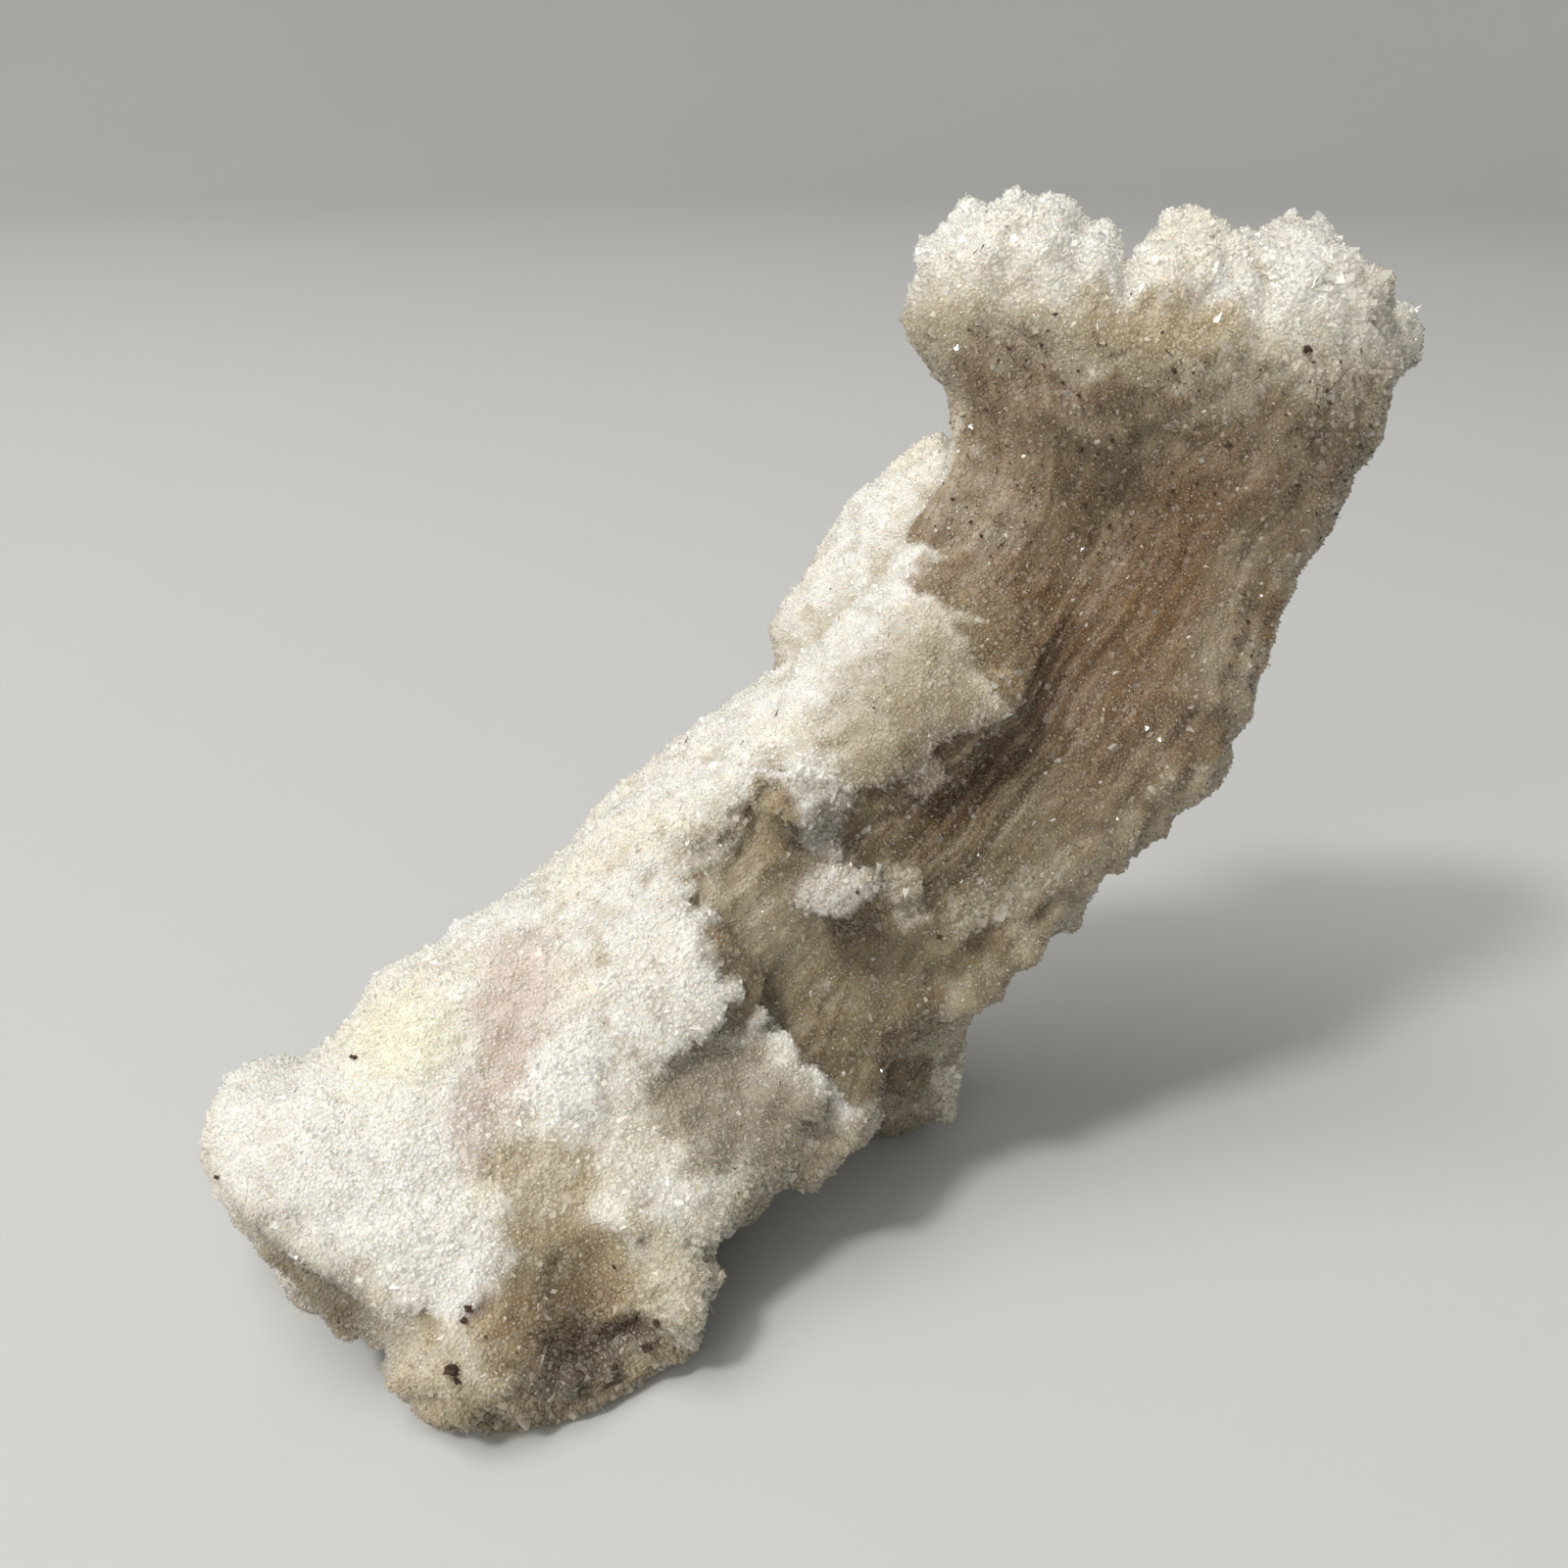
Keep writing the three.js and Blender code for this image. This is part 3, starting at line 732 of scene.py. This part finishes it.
def crustMaterial():
    material, sheet, shader = newMaterial("sugary_crust")
    place = objectPlace(sheet)
    tint = sheet.node("ShaderNodeAttribute", {"attribute_name": "tint"})["Color"]
    grain = sheet.node("ShaderNodeTexVoronoi", {}, {"Vector": place, "Scale": crustLook["grain"]})
    patch = sheet.noise(place, crustLook["patch"], 3)
    fine = sheet.noise(place, crustLook["fine"], 2)
    seam = sheet.remap(grain["Distance"], 0.25, 0.8, 0, 1)
    shade = sheet.clamp(seam * 0.28 + (patch - 0.5) * 0.6 + fibreStreaks(sheet))
    deeper = sheet.mixColour(1.0, tint, crustLook["deeper"], "MULTIPLY")
    colour = sheet.mixColour(shade, tint, deeper)
    plug(sheet, colour, shader, "Base Color")
    plug(sheet, sheet.clamp(0.35 + fine * 0.3), shader, "Roughness")
    height = (1 - seam) * 0.7 + fine * 0.3
    bump = sheet.node("ShaderNodeBump", {}, {
        "Strength": 0.7, "Distance": crustLook["bumpDepth"], "Height": height})
    plug(sheet, bump["Normal"], shader, "Normal")
    shader.inputs["IOR"].default_value = gypsumIor
    shader.inputs["Subsurface Weight"].default_value = crustLook["softLight"]
    shader.inputs["Subsurface Radius"].default_value = crustLook["softSpread"]
    shader.inputs["Subsurface Scale"].default_value = crustLook["softReach"]
    return material


# clear is how much light goes straight through, pale how far the tint turns white, and even how far the
# milky part is shaded as the skin below and not as its own facets
grainLook = {
    "crystal_grains": {
        "clear": 0.33, "pale": 0.0, "even": 0.4, "rough": (0.2, 0.5), "gloss": 0.9, "glossRough": 0.06},
    "bright_facets": {
        "clear": 0.3, "pale": 0.12, "even": 0.35, "rough": (0.1, 0.4), "gloss": 1.0, "glossRough": 0.04},
    "clear_crystal": {
        "clear": 0.6, "pale": 0.4, "even": 0.3, "rough": (0.03, 0.1), "gloss": 1.0, "glossRough": 0.03},
}


def grainMaterial(name):
    look = grainLook[name]
    material, sheet, shader = newMaterial(name)
    place = objectPlace(sheet)
    tint = sheet.node("ShaderNodeAttribute", {"attribute_name": "grainTint"})["Color"]
    patch = sheet.noise(place, 700, 1)
    darker = sheet.mixColour(1.0, tint, (0.5, 0.42, 0.34, 1), "MULTIPLY")
    streaked = sheet.mixColour(sheet.clamp(fibreStreaks(sheet)), tint, darker)
    plug(sheet, sheet.mixColour(look["pale"], streaked, (0.96, 0.955, 0.93, 1)), shader, "Base Color")
    plug(sheet, sheet.remap(patch, 0.7, 0.3, *look["rough"]), shader, "Roughness")
    facet = sheet.node("ShaderNodeNewGeometry")["Normal"]
    skinFacing = sheet.node("ShaderNodeAttribute", {"attribute_name": "skinFacing"})["Vector"]
    inputs = {"Factor": look["even"], "A": facet, "B": skinFacing}
    mixed = sheet.node("ShaderNodeMix", {"data_type": "VECTOR"}, inputs)["Result"]
    even = sheet.node("ShaderNodeVectorMath", {"operation": "NORMALIZE"}, {"Vector": mixed})["Vector"]
    plug(sheet, even, shader, "Normal")
    shader.inputs["IOR"].default_value = gypsumIor
    shader.inputs["Transmission Weight"].default_value = look["clear"]
    shader.inputs["Coat Weight"].default_value = look["gloss"]
    shader.inputs["Coat Roughness"].default_value = look["glossRough"]
    shader.inputs["Coat IOR"].default_value = gypsumIor
    return material


def plainMaterial(name, colour, rough, spread, scale):
    material, sheet, shader = newMaterial(name)
    place = objectPlace(sheet)
    patch = sheet.noise(place, scale, 4)
    darker = tuple(c * (1 - spread) for c in colour) + (1,)
    plug(sheet, sheet.mixColour(patch, darker, colour + (1,)), shader, "Base Color")
    plug(sheet, sheet.clamp(rough + (patch - 0.5) * 0.2), shader, "Roughness")
    return material


crust = crustMaterial()
grains, facets, clearCrystal = (grainMaterial(name) for name in grainLook)
dirt = plainMaterial("trapped_dirt", (0.09, 0.048, 0.028), 0.8, 0.6, 2500)
selenite.data.materials.clear()
selenite.data.materials.append(crust)


def shapeMesh(name, points, faces):
    mesh = bpy.data.meshes.new(name)
    mesh.from_pydata([Vector(p) for p in points], [], faces)
    work = bmesh.new()
    work.from_mesh(mesh)
    bmesh.ops.recalc_face_normals(work, faces=work.faces)
    work.to_mesh(mesh)
    work.free()
    return mesh


# the crystal shapes are one unit long and point up

def wedge(lean, ridge):
    # a blade that ends in a chisel edge
    points = [(-0.5, -0.4, -0.5), (0.5, -0.4, -0.5), (0.5, 0.4, -0.5), (-0.5, 0.4, -0.5),
              (-ridge + lean, 0.06, 0.5), (ridge + lean, -0.04, 0.42)]
    return points, [(0, 3, 2, 1), (0, 1, 5, 4), (2, 3, 4, 5), (0, 4, 3), (1, 2, 5)]


def slab(lean):
    # a leaning brick, as gypsum breaks
    low = [(-0.42, -0.38, -0.5), (0.42, -0.38, -0.5), (0.42, 0.38, -0.5), (-0.42, 0.38, -0.5)]
    points = low + [(x * 0.86 + lean, y * 0.9 + 0.08, z + 0.86 + 0.22 * x) for x, y, z in low]
    return points, [(0, 3, 2, 1), (4, 5, 6, 7), (0, 1, 5, 4), (1, 2, 6, 5), (2, 3, 7, 6), (3, 0, 4, 7)]


def shard(lean):
    # three sides and a point at each end
    points = [(0.5, 0.1, 0.0), (-0.32, 0.42, 0.06), (-0.25, -0.46, -0.05), (lean, 0.04, 0.55), (0, 0, -0.5)]
    return points, [(0, 1, 3), (1, 2, 3), (2, 0, 3), (1, 0, 4), (2, 1, 4), (0, 2, 4)]


def chip(lean):
    # four corners, flat as a broken edge
    points = [(0.5, -0.3, -0.35), (-0.46, -0.36, -0.3), (0.02, 0.5, -0.4), (lean, -0.05, 0.5)]
    return points, [(0, 2, 1), (0, 1, 3), (1, 2, 3), (2, 0, 3)]


def doublePoint(lean):
    # four sides, and a point at each end
    points = [(0.48, 0, 0), (0, 0.44, 0.05), (-0.48, 0, 0), (0, -0.44, -0.05), (lean, 0, 0.55), (0, 0, -0.5)]
    faces = [(0, 1, 4), (1, 2, 4), (2, 3, 4), (3, 0, 4), (1, 0, 5), (2, 1, 5), (3, 2, 5), (0, 3, 5)]
    return points, faces


def shapeSet(name, shapes):
    collection = bpy.data.collections.new(name)
    for i, (points, faces) in enumerate(shapes):
        mesh = shapeMesh(f"{name}{i}", points, faces)
        collection.objects.link(bpy.data.objects.new(mesh.name, mesh))
    return collection


grainShapes = shapeSet("grainShape", [
    shard(0.1), shard(-0.2), chip(0.15), chip(-0.1), wedge(0.1, 0.3)])
stoutShapes = shapeSet("stoutShape", [
    wedge(0.1, 0.3), wedge(-0.15, 0.2), slab(0.12), doublePoint(0.1)])
needleShapes = shapeSet("needleShape", [wedge(0.0, 0.25)])
crumbShapes = shapeSet("crumbShape", [doublePoint(0.2), slab(-0.1)])


# one Geometry Nodes tree sets every kind of crystal on the skin
scatterInputs = [
    ("From", "NodeSocketFloat"), ("To", "NodeSocketFloat"), ("Spacing", "NodeSocketFloat"),
    ("Length", "NodeSocketFloat"), ("Width", "NodeSocketFloat"), ("Unevenness", "NodeSocketFloat"),
    ("Tilt", "NodeSocketFloat"), ("Stand Out", "NodeSocketFloat"), ("Seed", "NodeSocketInt"),
    ("Amount", "NodeSocketString"), ("Shapes", "NodeSocketCollection"), ("Material", "NodeSocketMaterial"),
]
densest = 2e7  # points a square metre, enough for the finest spacing
mostShapes = 5  # the picks wrap round in a smaller set


def scatterTree():
    tree = bpy.data.node_groups.new("crystals_on_skin", "GeometryNodeTree")
    tree.interface.new_socket("Geometry", in_out="INPUT", socket_type="NodeSocketGeometry")
    for name, kind in scatterInputs:
        tree.interface.new_socket(name, in_out="INPUT", socket_type=kind)
    tree.interface.new_socket("Geometry", in_out="OUTPUT", socket_type="NodeSocketGeometry")
    sheet = NodeSheet(tree)
    given = sheet.node("NodeGroupInput")

    def attribute(name):
        settings = {"data_type": "FLOAT"}
        return sheet.node("GeometryNodeInputNamedAttribute", settings, {"Name": name})["Attribute"]

    def chance(low, high, seedStep):
        settings = {"data_type": "FLOAT"}
        inputs = {"Min": low, "Max": high, "Seed": given["Seed"] + seedStep}
        return sheet.node("FunctionNodeRandomValue", settings, inputs)["Value"]

    def compare(operation, a, b):
        settings = {"data_type": "FLOAT", "operation": operation}
        return sheet.node("FunctionNodeCompare", settings, {"A": a, "B": b})["Result"]

    place = attribute("place")
    inZone = sheet.node("FunctionNodeBooleanMath", {"operation": "AND"}, {
        0: compare("GREATER_EQUAL", place, given["From"]),
        1: compare("LESS_THAN", place, given["To"])})["Boolean"]
    spots = sheet.node("GeometryNodeDistributePointsOnFaces", {"distribute_method": "POISSON"}, {
        "Mesh": given["Geometry"], "Selection": inZone, "Distance Min": given["Spacing"],
        "Density Max": densest, "Density Factor": attribute(given["Amount"]), "Seed": given["Seed"]})
    size = attribute("coarse") * chance(1 - given["Unevenness"], 1 + given["Unevenness"], 1)
    lift = sheet.node("ShaderNodeVectorMath", {"operation": "SCALE"}, {
        "Vector": spots["Normal"], "Scale": given["Length"] * size * given["Stand Out"]})["Vector"]
    raised = sheet.node("GeometryNodeSetPosition", {}, {
        "Geometry": spots["Points"], "Offset": lift})["Geometry"]
    turn = sheet.node("ShaderNodeCombineXYZ", {}, {
        "X": chance(-1, 1, 2) * given["Tilt"], "Y": chance(-1, 1, 3) * given["Tilt"],
        "Z": chance(0, 6.283, 4)})["Vector"]
    asTurn = sheet.node("FunctionNodeEulerToRotation", {}, {"Euler": turn})["Rotation"]
    aimed = sheet.node("FunctionNodeRotateRotation", {"rotation_space": "LOCAL"}, {
        "Rotation": spots["Rotation"], "Rotate By": asTurn})["Rotation"]
    across = given["Width"] * size
    scale = sheet.node("ShaderNodeCombineXYZ", {}, {
        "X": across * chance(0.75, 1.35, 5), "Y": across * chance(0.75, 1.35, 6),
        "Z": given["Length"] * size * chance(0.7, 1.25, 7)})["Vector"]
    shapes = sheet.node("GeometryNodeCollectionInfo", {}, {
        "Collection": given["Shapes"], "Separate Children": True, "Reset Children": True})["Instances"]
    pick = sheet.node("FunctionNodeRandomValue", {"data_type": "INT"}, {
        "Min": 0, "Max": mostShapes, "Seed": given["Seed"] + 8})["Value"]
    placed = sheet.node("GeometryNodeInstanceOnPoints", {}, {
        "Points": raised, "Instance": shapes, "Pick Instance": True, "Instance Index": pick,
        "Rotation": aimed, "Scale": scale})["Instances"]
    real = sheet.node("GeometryNodeRealizeInstances", {}, {"Geometry": placed})["Geometry"]
    coated = sheet.node("GeometryNodeSetMaterial", {}, {
        "Geometry": real, "Material": given["Material"]})["Geometry"]
    sheet.node("NodeGroupOutput", {}, {"Geometry": coated})
    return tree


crystalTree = scatterTree()


def scatter(name, values):
    thing = addObject(name, selenite.data.copy())
    modifier = thing.modifiers.new("crystals", "NODES")
    modifier.node_group = crystalTree
    for item in crystalTree.interface.items_tree:
        if item.in_out == "INPUT" and item.name in values:
            isLength = item.name in ("Spacing", "Length", "Width")
            modifier[item.identifier] = values[item.name] * mm if isLength else values[item.name]
    settle(thing)
    points = readPoints(thing.data) / mm
    points[:, 2] = np.maximum(points[:, 2], 0)  # no crystal reaches below the ground
    writePoints(thing.data, points)
    thing.data.materials.clear()
    thing.data.materials.append(values["Material"])
    thing.data.polygons.foreach_set("material_index", np.zeros(len(thing.data.polygons), np.int32))
    thing.visible_shadow = "dirt" in name  # light goes through such small crystals
    if name.startswith("druse"):
        thing.data.shade_smooth()  # the finest grains look rounded
    thing.data.name = name
    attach(thing, "root")
    triangles = sum(len(p.vertices) - 2 for p in thing.data.polygons)
    print(name, triangles, "triangles")
    return thing


druse = {  # lengths in millimetres
    "Spacing": 0.31, "Length": 0.6, "Width": 0.5, "Unevenness": 0.4, "Tilt": 1.2, "Stand Out": 0.02,
    "Amount": "grow", "Shapes": grainShapes, "Material": grains,
}
zones = {  # the druse is in five pieces along the horn, so that none grows too large
    "druse_head": (-1, 0.2), "druse_belly": (0.2, 0.38), "druse_limb": (0.38, 0.56),
    "druse_neck": (0.56, 0.79), "druse_rim": (0.79, 2),
}
for number, (name, (start, end)) in enumerate(zones.items()):
    scatter(name, {**druse, "From": start, "To": end, "Seed": 20 + number})

strays = {  # what lies among the druse, over the whole horn
    "bright_facets": {
        "Spacing": 0.98, "Length": 0.58, "Width": 0.46, "Unevenness": 0.5, "Tilt": 1.1, "Stand Out": 0.12,
        "Seed": 40, "Amount": "grow", "Shapes": stoutShapes, "Material": facets},
    "clear_crystals": {
        "Spacing": 2.3, "Length": 1.05, "Width": 0.75, "Unevenness": 0.35, "Tilt": 1.0, "Stand Out": 0.08,
        "Seed": 50, "Amount": "sparse", "Shapes": stoutShapes, "Material": clearCrystal},
    "needles": {
        "Spacing": 4.5, "Length": 1.3, "Width": 0.15, "Unevenness": 0.3, "Tilt": 1.2, "Stand Out": 0.3,
        "Seed": 60, "Amount": "sparse", "Shapes": needleShapes, "Material": clearCrystal},
    "dirt_specks": {
        "Spacing": 1.7, "Length": 0.32, "Width": 0.26, "Unevenness": 0.6, "Tilt": 1.4, "Stand Out": 0.8,
        "Seed": 70, "Amount": "dirt", "Shapes": crumbShapes, "Material": dirt},
    "dirt_threads": {
        "Spacing": 0.85, "Length": 0.7, "Width": 0.07, "Unevenness": 0.5, "Tilt": 1.9, "Stand Out": 0.35,
        "Seed": 80, "Amount": "dirt", "Shapes": needleShapes, "Material": dirt},
}
for name, values in strays.items():
    scatter(name, {**values, "From": -1.0, "To": 2.0})

specks = [  # darker crumbs caught between the crystals: middle and size in millimetres
    ((-51.5, -20.6, 8.8), 1.36), ((-51.2, -20.9, 7.7), 0.8), ((-49.4, -18.3, 11.9), 0.72),
    ((-48.7, -17.9, 12.7), 0.8), ((-48.0, -19.8, 10.4), 0.4), ((-33.9, -23.9, 7.3), 0.88),
    ((-33.2, -23.6, 8.0), 0.56), ((-35.0, -24.3, 5.5), 1.12), ((-35.9, -24.4, 5.2), 0.72),
    ((-34.5, -24.1, 6.4), 0.56), ((-51.2, 3.3, 27.9), 0.72), ((5.8, -12.6, 32.2), 0.56),
    ((20.1, 0.9, 88.2), 0.56), ((23.5, -2.5, 91.7), 0.56), ((44.2, -15.8, 88.7), 1.12),
    ((38.7, -12.4, 79.3), 0.72), ((44.0, -15.2, 75.7), 0.64), ((-60.2, -8.4, 13.0), 0.48),
]


def addSpecks():
    work = bmesh.new()
    for number, (place, size) in enumerate(specks):
        _, spot, facing, _ = selenite.closest_point_on_mesh(Vector(place) * mm)
        turn = facing.to_track_quat("Z", "Y")
        made = bmesh.ops.create_icosphere(work, subdivisions=2, radius=0.5)
        for vert in made["verts"]:
            lump = 1 + 0.7 * noise.noise(vert.co * 2.6 + Vector((number, 0, 0)))
            squat = Vector((vert.co.x, vert.co.y * 0.75, 0.3 + vert.co.z * 0.6))
            vert.co = spot + (turn @ squat) * lump * size * mm
    mesh = bpy.data.meshes.new("dark_specks")
    work.to_mesh(mesh)
    work.free()
    mesh.materials.append(dirt)
    thing = addObject("dark_specks", mesh)
    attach(thing, "root")


addSpecks()
print("specks added")

# the shapes that were set on the skin are needed no longer
for collection in (grainShapes, stoutShapes, needleShapes, crumbShapes):
    for shape in list(collection.objects):
        bpy.data.objects.remove(shape)
    bpy.data.collections.remove(collection)
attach(selenite, "root")
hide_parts("selenite_horn")


stand = {
    "flatReach": 1.3, "rise": 1.0, "floorTone": (0.62, 0.62, 0.61),
    "skyTone": (0.92, 0.91, 0.89, 1), "sky": 0.25,
    "lamps": {  # place, aim, size, power and colour
        "key": ((-0.75, 0.35, 1.9), (0, 0, 0.04), 1.5, 20, (1.0, 0.98, 0.945)),
        "glints": ((-0.95, -0.1, 1.5), (0, 0, 0.04), 0.3, 12, (1, 1, 1)),
        "fill": ((-1.6, -1.0, 1.0), (0, 0, 0.05), 1.8, 10.5, (1.0, 0.98, 0.95)),
    },
    "camera": {"turn": -30, "down": 25, "place": (-0.07811, -0.12576, 0.115), "sensor": 36, "lens": 36.09},
}


def addFloor():
    # flat under the specimen, and curling up far away, so that it shows no horizon
    profile = [(r, 0) for r in (0.02, 0.2, 0.5, 0.9, stand["flatReach"])]
    profile += [(stand["flatReach"] + stand["rise"] * math.sin(a), stand["rise"] * (1 - math.cos(a)))
                for a in np.linspace(0.08, math.pi / 2, 20)]
    count = 96
    turns = [2 * math.pi * i / count for i in range(count)]
    points = [(r * math.cos(a), r * math.sin(a), z) for r, z in profile for a in turns]
    faces = [tuple(range(count))]
    for ring in range(len(profile) - 1):
        for i in range(count):
            a, b = ring * count + i, ring * count + (i + 1) % count
            faces.append((a, a + count, b + count, b))
    mesh = bpy.data.meshes.new("floor")
    mesh.from_pydata([Vector(p) for p in points], [], faces)
    mesh.shade_smooth()
    floor = addObject("floor", mesh)
    mesh.materials.append(plainMaterial("floor", stand["floorTone"], 0.6, 0.05, 3))


def addLamp(name, place, aim, size, power, colour):
    light = bpy.data.lights.new(name, "AREA")
    light.shape = "DISK"
    light.size = size
    light.energy = power
    light.color = colour
    lamp = bpy.data.objects.new(name, light)
    bpy.context.scene.collection.objects.link(lamp)
    lamp.location = place
    lamp.visible_camera = False
    lamp.rotation_euler = (Vector(place) - Vector(aim)).to_track_quat("Z", "Y").to_euler()


def addCamera():
    values = stand["camera"]
    turn, down = math.radians(values["turn"]), math.radians(values["down"])
    ahead = Vector((-math.sin(turn) * math.cos(down), math.cos(turn) * math.cos(down), -math.sin(down)))
    right = Vector((math.cos(turn), math.sin(turn), 0))
    axes = Matrix((right, right.cross(ahead), -ahead)).transposed()
    camera = bpy.data.cameras.new("camera")
    camera.sensor_width = values["sensor"]
    camera.lens = values["lens"]
    camera.clip_start = 0.005
    view = bpy.data.objects.new("camera", camera)
    bpy.context.scene.collection.objects.link(view)
    view.matrix_world = Matrix.Translation(values["place"]) @ axes.to_4x4()
    bpy.context.scene.camera = view


def addSky():
    world = bpy.data.worlds.new("soft_room")
    world.use_nodes = True
    background = world.node_tree.nodes["Background"]
    background.inputs["Color"].default_value = stand["skyTone"]
    background.inputs["Strength"].default_value = stand["sky"]
    bpy.context.scene.world = world


addFloor()
for name, values in stand["lamps"].items():
    addLamp(name, *values)
addCamera()
addSky()
bpy.context.scene.view_settings.view_transform = "Standard"
print("light and camera set")
